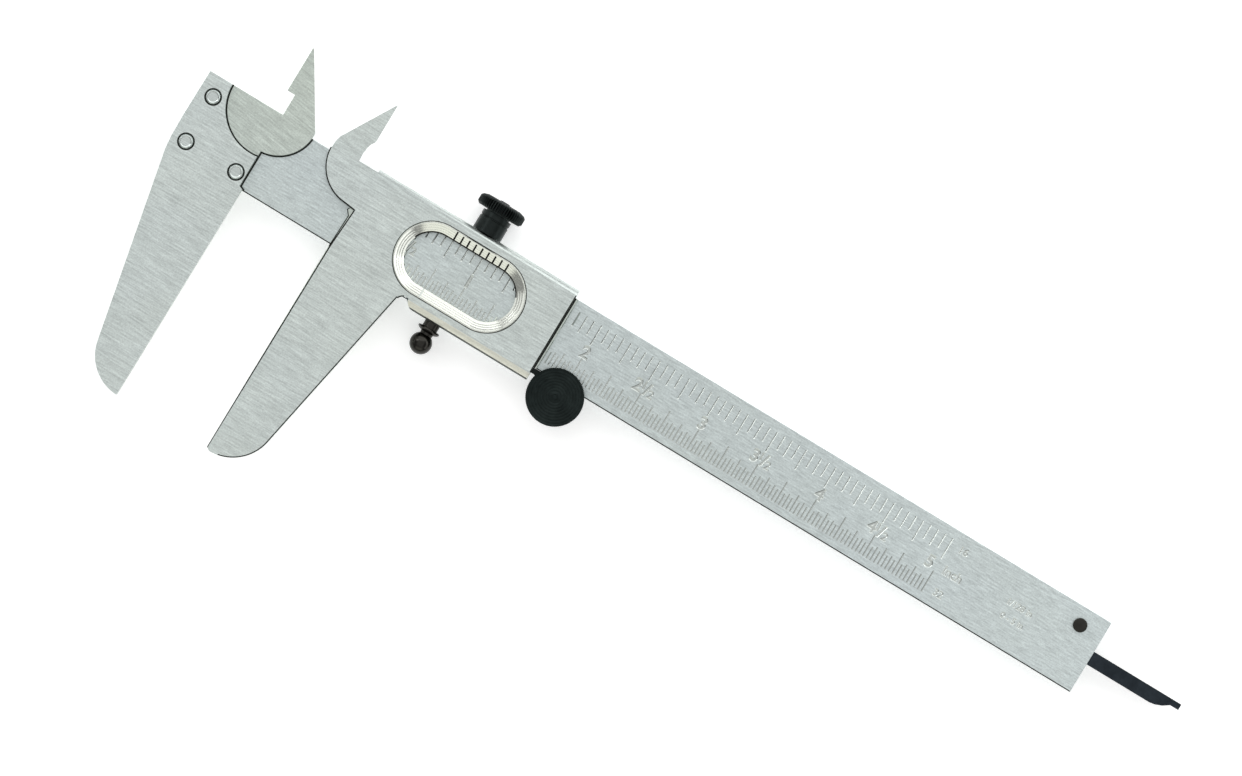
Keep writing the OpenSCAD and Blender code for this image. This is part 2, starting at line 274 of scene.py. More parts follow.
def brushed_steel(name, color, angle=0.0, contrast=0.2, blotch=0.025, rough=0.34, streak=(260, 3300),
                  drift=None):
    """Satin steel: fine brush streaks, a small grain, cloudy handling marks and a slight change of hue.
    drift is an axis, the two places on it between which the steel grows brighter, and by how much."""
    material, tree, shader = new_material(name)
    along, across = streak
    fine = noise(tree, (along, across, across), angle)
    coarse = noise(tree, (along / 3, across / 2, across / 2), angle)
    grain = noise(tree, (across, across, across), detail=5.0, roughness=0.7)
    clouds = noise(tree, (90, 150, 150), angle, detail=5.0)
    grey = scaled(tree, blend(tree, fine, 1 - contrast, 1 + contrast, (0.25, 0.75)),
                  blend(tree, coarse, 1 - contrast / 10, 1 + contrast / 10, (0.2, 0.8)))
    grey = scaled(tree, grey, blend(tree, grain, 1 - contrast, 1 + contrast, (0.25, 0.75)))
    grey = scaled(tree, grey, blend(tree, clouds, 1 - blotch, 1 + blotch))
    if drift:
        axis, span, amount = drift
        coords = add(tree, "ShaderNodeTexCoord")
        split = add(tree, "ShaderNodeSeparateXYZ")
        tree.links.new(coords.outputs["Object"], split.inputs["Vector"])
        grey = scaled(tree, grey, blend(tree, split.outputs[axis], 1, 1 + amount, span))
    hue = add(tree, "ShaderNodeMix", data_type="RGBA")
    hue.inputs["A"].default_value = (color[0], color[1], color[2], 1)
    hue.inputs["B"].default_value = (color[0] * 1.02, color[1] * 1.01, color[2] * 0.96, 1)
    tree.links.new(noise(tree, (35, 50, 50), detail=2.0), hue.inputs["Factor"])
    tint = add(tree, "ShaderNodeVectorMath", operation="SCALE")
    tree.links.new(hue.outputs["Result"], tint.inputs[0])
    tree.links.new(grey, tint.inputs["Scale"])
    tree.links.new(tint.outputs["Vector"], shader.inputs["Base Color"])
    tree.links.new(blend(tree, fine, rough - 0.05, rough + 0.07), shader.inputs["Roughness"])
    shader.inputs["Metallic"].default_value = 1.0
    bumped(tree, shader, fine, 0.3, 0.00001)
    return material


def turned_metal(name, color, rough, contrast, mottle=900):
    """Turned and blackened or polished metal: small mottling, lighter near the edges, and a fine grain."""
    material, tree, shader = new_material(name)
    grain = noise(tree, (mottle, mottle, mottle), detail=6.0, roughness=0.65)
    clouds = noise(tree, (220, 220, 220), detail=3.0)
    grey = scaled(tree, blend(tree, grain, 1 - contrast, 1 + contrast),
                  blend(tree, clouds, 1 - contrast, 1 + contrast))
    grey = scaled(tree, grey, blend(tree, edge_mask(tree, 0.0002), 1.5, 1.0, (0.7, 0.99)))
    tree.links.new(tinted(tree, grey, color), shader.inputs["Base Color"])
    tree.links.new(blend(tree, grain, rough - 0.05, rough + 0.08), shader.inputs["Roughness"])
    shader.inputs["Metallic"].default_value = 1.0
    bumped(tree, shader, grain, 0.25, 0.00001)
    return material


steel_along = brushed_steel("steel_along", (0.62, 0.68, 0.675))
beam_steel = brushed_steel("beam_steel", (0.595, 0.66, 0.67), rough=0.36, streak=(420, 3000),
                           drift=("X", (0.1, 0.19), 0.12))
nib_steel = brushed_steel("nib_steel", (0.56, 0.62, 0.585), angle=math.radians(-8))
# Painted light: paler, creamier steel for the gently leaning faces of the slider's low fold
fold_sheen_steel = brushed_steel("fold_sheen_steel", (0.78, 0.79, 0.72), contrast=0.1, rough=0.5)
# Painted shade: near-black steel for the steeper faces of that fold
fold_shade_steel = brushed_steel("fold_shade_steel", (0.09, 0.1, 0.095), contrast=0.1, rough=0.5)
rivet_steel = brushed_steel("rivet_steel", (0.60, 0.655, 0.65), contrast=0.1, rough=0.26)
groove_steel = brushed_steel("groove_steel", (0.54, 0.58, 0.57), contrast=0.05, rough=0.2)
bright_steel = brushed_steel("bright_steel", (0.76, 0.79, 0.75), contrast=0.06, blotch=0.04, rough=0.2)
# Painted shade: near-black steel for the grooves, rings and strips that stand for shadow lines
painted_shade_steel = brushed_steel("painted_shade_steel", (0.03, 0.033, 0.03), contrast=0.05, rough=0.5)
black_steel = turned_metal("black_steel", (0.022, 0.027, 0.026), 0.33, 0.2)
black_gloss = turned_metal("black_gloss", (0.038, 0.037, 0.033), 0.2, 0.15)
black_matt = turned_metal("black_matt", (0.018, 0.024, 0.023), 0.5, 0.25)
blued_steel = turned_metal("blued_steel", (0.030, 0.038, 0.046), 0.33, 0.2)
# Black of the vernier's lines, also a painted shadow on the window rim's upper inner edge
print_and_shade_black = turned_metal("print_and_shade_black", (0.03, 0.03, 0.027), 0.6, 0.2)
brass = turned_metal("brass", (0.60, 0.44, 0.18), 0.3, 0.1)


# ---------------------------------------------------------------- mesh tools
def shade(mesh, angle=35):
    """Smooth shading that stays sharp at edges steeper than the angle."""
    mesh.polygons.foreach_set("use_smooth", [True] * len(mesh.polygons))
    mesh.set_sharp_from_angle(angle=math.radians(angle))


def new_object(name, mesh, material):
    mesh.materials.append(material)
    made = bpy.data.objects.new(name, mesh)
    bpy.context.scene.collection.objects.link(made)
    return made


def mesh_from(bm, name):
    """Plain mesh with nothing but the bmesh's points and faces."""
    bm.verts.index_update()
    mesh = bpy.data.meshes.new(name)
    mesh.from_pydata([v.co[:] for v in bm.verts], [], [[v.index for v in f.verts] for f in bm.faces])
    bm.free()
    return mesh


def applied(piece):
    """The piece with its modifiers made part of its mesh."""
    graph = bpy.context.evaluated_depsgraph_get()
    mesh = bpy.data.meshes.new_from_object(piece.evaluated_get(graph))
    piece.modifiers.clear()
    piece.data = mesh
    return piece


def settle(piece, node):
    """The piece stands for the CAD node: same body, and the node is hidden."""
    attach(piece, frame["nodes"][node]["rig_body"])
    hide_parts(node)
    return piece


def cad_copy(node):
    """Welded copy of a CAD node's mesh, its flat faces merged."""
    bm = bmesh.new()
    bm.from_mesh(frame["nodes"][node].data)
    bmesh.ops.remove_doubles(bm, verts=bm.verts, dist=WELD * MM)
    bmesh.ops.dissolve_limit(bm, angle_limit=math.radians(1), verts=bm.verts, edges=bm.edges)
    return mesh_from(bm, node + "_finished")


def softened(node, material):
    """Copy of a CAD node with small rounded edges."""
    piece = new_object(node + "_finished", cad_copy(node), material)
    shade(piece.data)
    modifier = piece.modifiers.new("edges", "BEVEL")
    modifier.width = EDGE_BEVEL * MM
    modifier.segments = 2
    modifier.limit_method = "ANGLE"
    modifier.angle_limit = math.radians(40)
    modifier.harden_normals = True
    return applied(piece)


def fillet(points, radius, steps=3):
    """Open outline with its inner corners rounded."""
    out = [points[0]]
    for before, corner, after in zip(points, points[1:], points[2:]):
        p, c, n = Vector(before), Vector(corner), Vector(after)
        reach = min(radius, (p - c).length * 0.45, (n - c).length * 0.45)
        start = c + (p - c).normalized() * reach
        end = c + (n - c).normalized() * reach
        for i in range(steps + 1):
            t = i / steps
            out.append(tuple((1 - t) ** 2 * start + 2 * t * (1 - t) * c + t * t * end))
    return out + [points[-1]]


def lathe(name, profile, material, place=Matrix(), segments=96, stretch=0.0, radius=None):
    """Solid turned about Z from (radius, height) points; stretch pulls it into a slot shape along X.
    radius(r, z, angle) may change the radius round the turn, for knurls."""
    bm = bmesh.new()
    rings = []
    for r, z in profile:
        ring = []
        for i in range(segments):
            angle = 2 * math.pi * (i + 0.5) / segments
            side = math.copysign(stretch / 2, math.cos(angle))
            reach = radius(r, z, angle) if radius else r
            ring.append(bm.verts.new((side + reach * math.cos(angle), reach * math.sin(angle), z)))
        rings.append(ring)
    closed = Vector(profile[0]) == Vector(profile[-1])
    if closed:
        rings[-1] = rings[0]
    for low, high in zip(rings, rings[1:]):
        for i in range(segments):
            j = (i + 1) % segments
            if low[i] is not high[i]:
                bm.faces.new((low[i], low[j], high[j], high[i]))
    bmesh.ops.remove_doubles(bm, verts=bm.verts, dist=TURN_WELD)
    loose = [v for v in bm.verts if not v.link_faces]
    bmesh.ops.delete(bm, geom=loose, context="VERTS")
    bmesh.ops.recalc_face_normals(bm, faces=bm.faces)
    bmesh.ops.transform(bm, matrix=Matrix.Scale(MM, 4) @ place, verts=bm.verts)
    piece = new_object(name, mesh_from(bm, name), material)
    shade(piece.data)
    return piece


def along_y(x, z):
    """Placement that lays a turned piece's axis along +Y."""
    return Matrix.Translation((x, 0, z)) @ Matrix.Rotation(math.radians(-90), 4, "X")


def upright(centre):
    """Placement that stands a turned piece on its own axis at the centre."""
    return Matrix.Translation((centre.x, centre.y, 0))


def box_mm(node):
    """Lowest corner, highest corner and centre of a CAD node, in millimetres."""
    low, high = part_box(node)
    return low / MM, high / MM, (low + high) / 2 / MM


def radius_of(low, high):
    """Radius of something round, from its box."""
    return (high.x - low.x) / 2


def knurl(ridges, depth, on_rim):
    """Radius for lathe: even ridges of the given depth wherever on_rim(radius, height) holds."""
    def at(radius, z, angle):
        return radius - depth * (1 - math.cos(ridges * angle)) / 2 if on_rim(radius, z) else radius
    return at


def cut(piece, cutter, overlapping=False):
    """Cuts the cutter, which may overlap itself, out of the piece. The cut faces keep its material."""
    modifier = piece.modifiers.new("cut", "BOOLEAN")
    modifier.object = cutter
    modifier.solver = "EXACT"
    modifier.use_self = overlapping
    modifier.material_mode = "TRANSFER"
    applied(piece)
    bpy.data.objects.remove(cutter)
    mend(piece)
    flatten_normals(piece)


def mend(piece):
    """Welds the slivers that a cut leaves and closes the small holes."""
    bm = bmesh.new()
    bm.from_mesh(piece.data)
    bmesh.ops.remove_doubles(bm, verts=bm.verts, dist=WELD * MM)
    bmesh.ops.dissolve_degenerate(bm, edges=bm.edges, dist=WELD * MM)
    stray = [f for f in bm.faces if all(len(e.link_faces) > 2 for e in f.edges)]
    bmesh.ops.delete(bm, geom=stray, context="FACES")
    bmesh.ops.holes_fill(bm, edges=[e for e in bm.edges if e.is_boundary], sides=0)
    bm.to_mesh(piece.data)
    bm.free()


def flatten_normals(piece):
    """Smooth shading in which the larger faces stay flat."""
    marks = piece.data.attributes
    if "custom_normal" in marks:
        marks.remove(marks["custom_normal"])
    shade(piece.data, FLAT_ANGLE)
    modifier = piece.modifiers.new("normals", "WEIGHTED_NORMAL")
    modifier.mode = "FACE_AREA"
    modifier.weight = 100
    modifier.keep_sharp = True
    applied(piece)


def refinish(piece, material, lean):
    """Another steel on those faces of the low fold's bend whose normals' height lies in the range lean and
    that face towards +X and -Y: the paler steel it gets paints light, the near-black one paints shade.
    """
    piece.data.materials.append(material)
    for face in piece.data.polygons:
        across = face.normal.to_2d()
        leans = lean[0] < face.normal.z < lean[1]
        on_fold = LOW_FOLD[0] < face.center.y / MM < LOW_FOLD[1] + FOLD_OVERLAP
        if leans and on_fold and across.length > 0 and across.normalized().dot(FOLD_FACING) > FACING_MIN:
            face.material_index = len(piece.data.materials) - 1


# ---------------------------------------------------------------- scale
def groove(bm, x, low, high, top, depth):
    """V-shaped groove cutter across the beam at x, with a sloped run-out at its lower end."""
    over = 0.05
    wide = TICK_W / 2 * (1 + over / depth)
    start = low - TICK_RUN_OUT * over / depth
    a, b, c = (bm.verts.new(at) for at in ((x - wide, start, top + over), (x + wide, start, top + over),
                                           (x, low + TICK_RUN_OUT, top - depth)))
    d, e, f = (bm.verts.new(at) for at in ((x - wide, high, top + over), (x + wide, high, top + over),
                                           (x, high, top - depth)))
    for face in ((a, b, c), (f, e, d), (a, d, e, b), (b, e, f, c), (c, f, d, a)):
        bm.faces.new(face)


def tick_cutter(top):
    bm = bmesh.new()
    for division, ends, edge, depth in ((16, UPPER_ENDS, UPPER_START, UPPER_DEPTH),
                                        (32, LOWER_ENDS, LOWER_START, LOWER_DEPTH)):
        for k in range(SCALE_INCHES * division + 1):
            step = min((d for d in ends if (k * d) % division == 0), default=division)
            low, high = sorted((edge, ends[step]))
            groove(bm, SCALE_ZERO + k * INCH / division, low, high, top, depth)
    bmesh.ops.recalc_face_normals(bm, faces=bm.faces)
    bmesh.ops.scale(bm, vec=(MM, MM, MM), verts=bm.verts)
    return new_object("ticks", mesh_from(bm, "ticks"), groove_steel)


def letters(text, x, y, height, top):
    """Mesh of a short text as a cutter, centred at x, y."""
    curve = bpy.data.curves.new("letters", "FONT")
    curve.body = text
    curve.size = height * FONT_SIZE * MM
    curve.align_x = "CENTER"
    curve.align_y = "CENTER"
    curve.extrude = STROKE_EXTRUDE * MM
    curve.bevel_depth = STROKE_BEVEL * height * MM
    curve.bevel_resolution = 0
    curve.resolution_u = 3
    holder = bpy.data.objects.new("letters", curve)
    bpy.context.scene.collection.objects.link(holder)
    graph = bpy.context.evaluated_depsgraph_get()
    mesh = bpy.data.meshes.new_from_object(holder.evaluated_get(graph))
    bpy.data.objects.remove(holder)
    place = Matrix.Translation((x * MM, y * MM, top * MM))
    mesh.transform(place @ Matrix.Scale(STROKE_FLATTENING, 4, (0, 0, 1)))
    return mesh


def joined(meshes, material):
    bm = bmesh.new()
    for mesh in meshes:
        bm.from_mesh(mesh)
    bmesh.ops.remove_doubles(bm, verts=bm.verts, dist=LETTER_WELD * MM)
    return new_object("letters", mesh_from(bm, "letters"), material)


def half_mark(x, y, top):
    """The three small glyphs of one half."""
    small = DIGIT_H * HALF_SIZE
    return [letters("1", x + HALF_TOP[0], y + HALF_TOP[1], small, top),
            letters("/", x, y, DIGIT_H, top),
            letters("2", x + HALF_FOOT[0], y + HALF_FOOT[1], small, top)]


def lettering_cutter(top):
    """Numbers of the inches and half inches, the names of the scales and two notes near the beam's end."""
    meshes = half_mark(SCALE_ZERO + INCH / 2, DIGIT_Y, top)
    for inch in range(1, SCALE_INCHES):
        x = SCALE_ZERO + inch * INCH
        meshes.append(letters(str(inch), x, DIGIT_Y, DIGIT_H, top))
        meshes.append(letters(str(inch), x + INCH / 2 + WHOLE_SHIFT, DIGIT_Y, DIGIT_H, top))
        meshes += half_mark(x + INCH / 2 + HALF_SHIFT, DIGIT_Y, top)
    last = SCALE_ZERO + SCALE_INCHES * INCH
    meshes.append(letters(str(SCALE_INCHES), last + LAST_SHIFT, DIGIT_Y, DIGIT_H, top))
    meshes.append(letters("Inch", last + UNIT_SHIFT, DIGIT_Y, UNIT_H, top))
    meshes += [letters(text, last + DIVISION_SHIFT, y, DIVISION_H, top) for text, y in DIVISIONS]
    meshes += [letters(text, NOTE_X, y, NOTE_H, top) for text, y in NOTES]
    return joined(meshes, groove_steel)


def outline(node, level):
    """Outer corner points, in order, of a CAD node's flat face at the given height in millimetres.
    The faces are kept in a list, so that the outline starts at the same corner in each run."""
    bm = bmesh.new()
    bm.from_mesh(frame["nodes"][node].data)
    bmesh.ops.remove_doubles(bm, verts=bm.verts, dist=WELD * MM)
    flat = [f for f in bm.faces if all(abs(v.co.z - level * MM) < WELD * MM for v in f.verts)]
    follow = {}
    for face in flat:
        for loop in face.loops:
            if sum(f in flat for f in loop.edge.link_faces) == 1:
                follow[loop.vert] = loop.link_loop_next.vert
    rings = []
    while follow:
        vert = next(iter(follow))
        ring = []
        while vert in follow:
            ring.append(vert.co.to_2d() / MM)
            vert = follow.pop(vert)
        rings.append(ring)
    bm.free()
    return max(rings, key=lambda ring: sum((p - ring[0]).length for p in ring))


def grown(ring, margin):
    """The closed outline moved outwards by the margin."""
    area = sum(a.x * b.y - b.x * a.y for a, b in zip(ring, ring[1:] + ring[:1]))
    side = 1 if area > 0 else -1
    out = []
    for before, here, after in zip(ring[-1:] + ring[:-1], ring, ring[1:] + ring[:1]):
        first = (here - before).normalized()
        second = (after - here).normalized()
        normal = Vector((first.y + second.y, -first.x - second.x)).normalized() * side
        lean = max(normal.dot(Vector((first.y, -first.x)) * side), 0.5)
        out.append(here + normal * margin / lean)
    return out


def seam(piece, node, level):
    """Groove on the piece along the foot of the plate that lies on it at the given height, near black as a
    painted shadow at the step's foot.
    """
    ring = grown(outline(node, level), SEAM_W)
    bm = bmesh.new()
    rings = [[bm.verts.new((p.x * MM, p.y * MM, z * MM)) for p in ring] for z in (box_foot(piece), level)]
    bm.faces.new(rings[0])
    bm.faces.new(rings[1])
    for i in range(len(ring)):
        j = (i + 1) % len(ring)
        bm.faces.new((rings[0][i], rings[0][j], rings[1][j], rings[1][i]))
    bmesh.ops.recalc_face_normals(bm, faces=bm.faces)
    cut(piece, new_object("seam", mesh_from(bm, "seam"), painted_shade_steel))


def box_foot(piece):
    """Height of the seam's floor in the piece's top face, in millimetres."""
    return max(v.co.z for v in piece.data.vertices) / MM - SEAM_DEPTH


def strip(name, node, level, margins, heights, keep):
    """Near-black strip between two margins and heights, along the outline's edges that keep(point) picks:
    painted shade.
    """
    ring = outline(node, level)
    count = len(ring)
    sides = [grown(ring, margin) for margin in margins]
    picked = [keep(ring[i]) and keep(ring[(i + 1) % count]) for i in range(count)]
    bm = bmesh.new()
    corners = {i: [bm.verts.new((side[i].x, side[i].y, z)) for z in heights for side in sides]
               for i in range(count) if picked[i] or picked[i - 1]}
    for i in range(count):
        if picked[i]:
            start, end = corners[i], corners[(i + 1) % count]
            for p, q in ((0, 1), (1, 3), (3, 2), (2, 0)):
                bm.faces.new((start[p], start[q], end[q], end[p]))
            if not picked[i - 1]:
                bm.faces.new((start[0], start[2], start[3], start[1]))
            if not picked[(i + 1) % count]:
                bm.faces.new((end[0], end[1], end[3], end[2]))
    bmesh.ops.recalc_face_normals(bm, faces=bm.faces)
    bmesh.ops.scale(bm, vec=(MM, MM, MM), verts=bm.verts)
    return new_object(name, mesh_from(bm, name), painted_shade_steel)


def edge_line(name, node, level, margins, keep):
    """Thin near-black strip, a painted shadow line, that rides with the slider along some edges of a plate.
    """
    piece = strip(name, node, level, margins, (level, level + SHADOW_LINE_T), keep)
    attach(piece, frame["nodes"][node]["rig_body"])


def rebate(piece, node, level, keep):
    """Narrow step along some edges of the piece's top face, its faces near black as painted shade."""
    heights = (level - REBATE_DEPTH, level + REBATE_W)
    cut(piece, strip("rebate", node, level, (-REBATE_W, REBATE_W), heights, keep))


def make_edge_lines():
    """Painted shadow lines along the slider's laminations where they pass over the beam and the head."""
    inner_low, inner_high = box_mm("moving_inner_plate")[:2]
    beam_low, beam_high = box_mm("beam")[:2]
    jaw = inner_low.x + JAW_ROOT
    front = box_mm("slider_front")[1]
    edge_line("jaw_shadow_line", "slider_front", front.z, (-REBATE_W, 0),
              lambda p: p.y < LOW_FOLD[1] and p.x > JAW_TIP)
    edge_line("right_shadow_line", "slider_front", front.z, (-REBATE_W, 0),
              lambda p: p.x > front.x - RIGHT_REACH)
    edge_line("lobe_shadow_line", "slider_front", inner_high.z, (0, LOBE_SHADOW_W),
              lambda p: p.x < jaw + 1 and beam_low.y < p.y < beam_high.y + 1)
    edge_line("left_shadow_line", "moving_inner_plate", inner_high.z, (-LEFT_SHADOW_W, 0),
              lambda p: p.x < jaw + 0.3 and beam_low.y - 0.5 < p.y < 1)


def make_beam():
    top = box_mm("beam")[1].z
    beam = softened("beam", beam_steel)
    cut(beam, tick_cutter(top))
    cut(beam, lettering_cutter(top), overlapping=True)
    # Painted shadow along the foot of the head's inner plate
    seam(beam, "fixed_inner_plate", box_mm("fixed_inner_plate")[1].z)
    # Painted shade along the beam's lower edge
    rebate(beam, "beam", top, lambda p: p.y < BEAM_LOW)
    settle(beam, "beam")


# ---------------------------------------------------------------- window rim
def rim_size():
    """Outer radius and straight length of the window's rim."""
    low, high = box_mm("window_bezel")[:2]
    outer = (high.y - low.y) / 2
    return outer, high.x - low.x - 2 * outer


def make_bezel():
    """Bright slot-shaped rim with turned grooves, a painted shadow along its upper inner edge and the
    vernier's lines on its bevel.
    """
    low, high, centre = box_mm("window_bezel")
    outer, stretch = rim_size()
    inner = outer - RIM_INSET
    wall = inner + RIM_WALL
    lip = high.z - RIM_LIP
    foot = Vector((inner, low.z + RIM_FOOT))
    crest = Vector((inner + RIM_BEVEL_W, high.z))
    profile = [(inner, low.z), (wall, low.z), (wall, lip), (outer - RIM_ROUNDING, lip),
               (outer, lip + RIM_ROUNDING), (outer, high.z - RIM_CHAMFER), (outer - RIM_CHAMFER, high.z),
               tuple(crest)]
    for t in RIM_GROOVES:
        for shift, sink in ((RIM_GROOVE_W, 0), (0, RIM_GROOVE_SINK), (-RIM_GROOVE_W, 0)):
            at = foot.lerp(crest, t + shift)
            profile.append((at.x, at.y - sink))
    edge = foot.lerp(crest, RIM_SHADE_EDGE)
    profile += [tuple(edge), tuple(foot), (inner, low.z)]
    bezel = lathe("window_rim", profile, bright_steel, upright(centre), 128, stretch)
    # Painted shadow: the rim's faces near the bevel's foot on the window's upper side turn black
    bezel.data.materials.append(print_and_shade_black)
    for face in bezel.data.polygons:
        at = face.center / MM - centre
        radius = math.hypot(max(abs(at.x) - stretch / 2, 0), at.y)
        if radius < edge.x and at.y > inner * RIM_SHADE_SIDE:
            face.material_index = 1
    cut(bezel, bevel_lines(centre, foot, crest, 1, VERNIER_LINES, print_and_shade_black))
    cut(bezel, bevel_lines(centre, foot, crest, -1, 1, groove_steel))
    settle(bezel, "window_bezel")


def window_seat(piece):
    """Narrow groove on the slider around the window's rim, near black as painted shade."""
    outer, stretch = rim_size()
    ring_cut(piece, box_mm("window_bezel")[2], outer, box_mm("slider_front")[1].z, stretch)


def ring_cut(piece, centre, radius, level, stretch=0.0):
    """Shallow near-black groove on the piece's face around something round, or slot-shaped, that stands on
    it: painted shade.
    """
    inner, outer = radius - SEAT_INSIDE, radius + SEAT_OUTSIDE
    floor, above = level - SEAT_DEPTH, level + SEAT_DEPTH
    profile = [(inner, floor), (outer, floor), (outer, above), (inner, above), (inner, floor)]
    cut(piece, lathe("seat", profile, painted_shade_steel, upright(centre), 96, stretch))


def bevel_lines(centre, foot, crest, side, count, material):
    """Cutter for lines down the window's bevel, on its upper (1) or lower (-1) side."""
    middle = (foot + crest) / 2
    tilt = math.atan2(crest.y - foot.y, crest.x - foot.x) * side
    bm = bmesh.new()
    for k in range(count):
        at = Matrix.Translation((VERNIER_ZERO + k * VERNIER_STEP, centre.y + side * middle.x, middle.y))
        length = (crest - foot).length * (FIRST_LINE if k == 0 else OTHER_LINES)
        size = Matrix.Diagonal((VERNIER_W, length, 2 * VERNIER_DEPTH, 1))
        bmesh.ops.create_cube(bm, size=1, matrix=at @ Matrix.Rotation(tilt, 4, "X") @ size)
    bmesh.ops.scale(bm, vec=(MM, MM, MM), verts=bm.verts)
    return new_object("bevel_lines", mesh_from(bm, "bevel_lines"), material)


# ---------------------------------------------------------------- turned parts
def make_rivets():
    """Heads with a raised bright ring round a slightly sunk middle."""
    shank, sink, head = 1.0, 0.5, 0.5
    crown = ((0.27, 0.08), (0.38, 0), (0.44, 0.01), (0.6, 0.09))
    for k in (1, 2, 3):
        node = f"head_rivet_{k}"
        low, high, centre = box_mm(node)
        r = radius_of(low, high)
        face = high.z - head
        profile = [(0, 0), (r, 0), (shank, sink), (shank, face), (r - 0.1, face), (r - 0.13, face + 0.15)]
        profile += [(r - inset, high.z - drop) for inset, drop in crown]
        profile.append((0, high.z - 0.07))
        piece = lathe(f"{node}_finished", fillet(profile, 0.05, 2), rivet_steel, upright(centre), 48)
        settle(piece, node)


def rivet_seats(piece):
    """Narrow near-black ring on the head around each rivet: painted shadow."""
    for k in (1, 2, 3):
        low, high, centre = box_mm(f"head_rivet_{k}")
        ring_cut(piece, centre, radius_of(low, high), box_mm("fixed_outer_plate")[1].z)


def make_stop_pin():
    """Pin with a rounded head that stands on the beam."""
    low, high, centre = box_mm("stop_pin")
    r = radius_of(low, high)
    step, rounding = high.z - 0.9, 0.22
    profile = [(0, low.z), (PIN_R, low.z), (PIN_R, step), (r, step), (r, high.z), (0, high.z)]
    piece = lathe("stop_pin_finished", fillet(profile, rounding), black_gloss, upright(centre), 48)
    settle(piece, "stop_pin")


def make_roller():
    """Knurled disk on a plain hub, with turned rings on its face and a sunk middle."""
    low, high, centre = box_mm("thumb_roller")
    r = radius_of(low, high)
    hub, disk = 2.68, high.z - 2.45
    rings, first_ring, ring_step, ring_w, ring_sink = 8, 0.45, 0.55, 0.16, 0.05
    dimple_r, dimple_floor_r, dimple = 0.6, 0.5, high.z - 0.2
    axle_end = high.z - 0.9
    profile = [(AXLE_BORE_R, low.z), (hub, low.z), (hub, disk), (r, disk), (r, high.z)]
    for k in range(rings):
        outer = r - first_ring - k * ring_step
        profile += [(outer, high.z), (outer - ring_w / 2, high.z - ring_sink), (outer - ring_w, high.z)]
    profile += [(dimple_r, high.z), (dimple_floor_r, dimple), (0, dimple), (0, axle_end),
                (AXLE_BORE_R, axle_end), (AXLE_BORE_R, low.z)]
    ridges, depth = 90, 0.06
    waves = knurl(ridges, depth, lambda radius, z: radius > r - 0.02)
    piece = lathe("thumb_roller_finished", profile, black_matt, upright(centre), ridges * 4, radius=waves)
    settle(piece, "thumb_roller")


def make_lock_screw():
    """Knurled thumb head, recessed underneath for the bushing's rim, on a plain shank."""
    low, high, centre = box_mm("lock_screw")
    r = radius_of(low, high)
    base = high.y - LOCK_HEAD_T
    hollow = base + LOCK_RECESS
    profile = [(0, low.y), (LOCK_SHANK_R, low.y), (LOCK_SHANK_R, base), (LOCK_RECESS_R, base),
               (LOCK_RECESS_R, hollow), (r - 0.5, hollow), (r, base + 0.85), (r, high.y - 0.9),
               (r - 0.35, high.y - 0.5), (3.4, high.y - 0.2), (3.1, high.y - 0.35), (1.2, high.y - 0.3),
               (0.9, high.y), (0, high.y)]
    ridges, depth = 54, 0.5
    waves = knurl(ridges, depth, lambda radius, z: radius > r - 0.36 and z > base + 0.3)
    place = along_y(centre.x, centre.z)
    piece = lathe("lock_screw_finished", profile, black_steel, place, ridges * 6, radius=waves)
    settle(piece, "lock_screw")


def make_bushing():
    """Collar with a turned line, and a rim that closes the gap to the lock screw's head."""
    low, high, centre = box_mm("lock_bushing")
    r = radius_of(low, high)
    bore, spigot, rim_w, line_sink = 1.55, 2.0, 0.45, 0.15
    shoulder = high.y - 3.6
    rim = box_mm("lock_screw")[1].y - 2.9
    profile = [(bore, low.y), (spigot, low.y), (spigot, shoulder), (r, shoulder), (r, high.y - 0.9),
               (r - line_sink, high.y - 0.8), (r - line_sink, high.y - 0.65), (r, high.y - 0.55), (r, rim),
               (r - rim_w, rim), (r - rim_w, high.y), (bore, high.y), (bore, low.y)]
    piece = lathe("lock_bushing_finished", profile, black_steel, along_y(centre.x, centre.z), 64)
    settle(piece, "lock_bushing")


def make_knob():
    """Ball on a thin neck above a collar, a flange and its shank."""
    low, high, centre = box_mm("finger_knob")
    ball, neck, flange, shank = 2.15, 1.2, 1.55, 0.8
    ball_y = low.y + ball
    base = ball_y + 4.3
    profile = [(0, ball_y - ball)]
    for degrees in range(8, 144, 8):
        turn = math.radians(degrees)
        profile.append((ball * math.sin(turn), ball_y - ball * math.cos(turn)))
    profile += [(neck, ball_y + 1.78), (1.3, base - 2.1), (1.95, base - 1.85), (2.25, base - 1.5),
                (2.15, base - 1.25), (flange, base - 1.1), (flange, base), (shank, base), (shank, high.y),
                (0, high.y)]
    piece = lathe("finger_knob_finished", profile, black_gloss, along_y(centre.x, centre.z), 64)
    settle(piece, "finger_knob")


# ---------------------------------------------------------------- the object
def make_plates():
    plates = {"fixed_back_plate": steel_along, "fixed_inner_plate": nib_steel,
              "fixed_outer_plate": steel_along, "slider_front": steel_along,
              "moving_inner_plate": nib_steel, "slider_back": steel_along, "rod_keeper": steel_along}
    upper = {"fixed_inner_plate": "fixed_outer_plate", "moving_inner_plate": "slider_front"}
    for node, material in plates.items():
        piece = softened(node, material)
        if node in upper:
            # Painted shadow along the foot of the plate that lies on this one
            seam(piece, upper[node], box_mm(upper[node])[1].z)
        if node == "fixed_outer_plate":
            rivet_seats(piece)
        if node == "slider_front":
            window_seat(piece)
            # Painted light and shade on the low fold's bend, chosen by the way its faces face
            refinish(piece, fold_sheen_steel, SHEEN_LEAN)
            refinish(piece, fold_shade_steel, SHADE_LEAN)
        settle(piece, node)
    for node, material, slot in (("roller_arm", black_steel, "black_steel"),
                                 ("depth_rod", blued_steel, "blued_steel")):
        settle(softened(node, material), node)


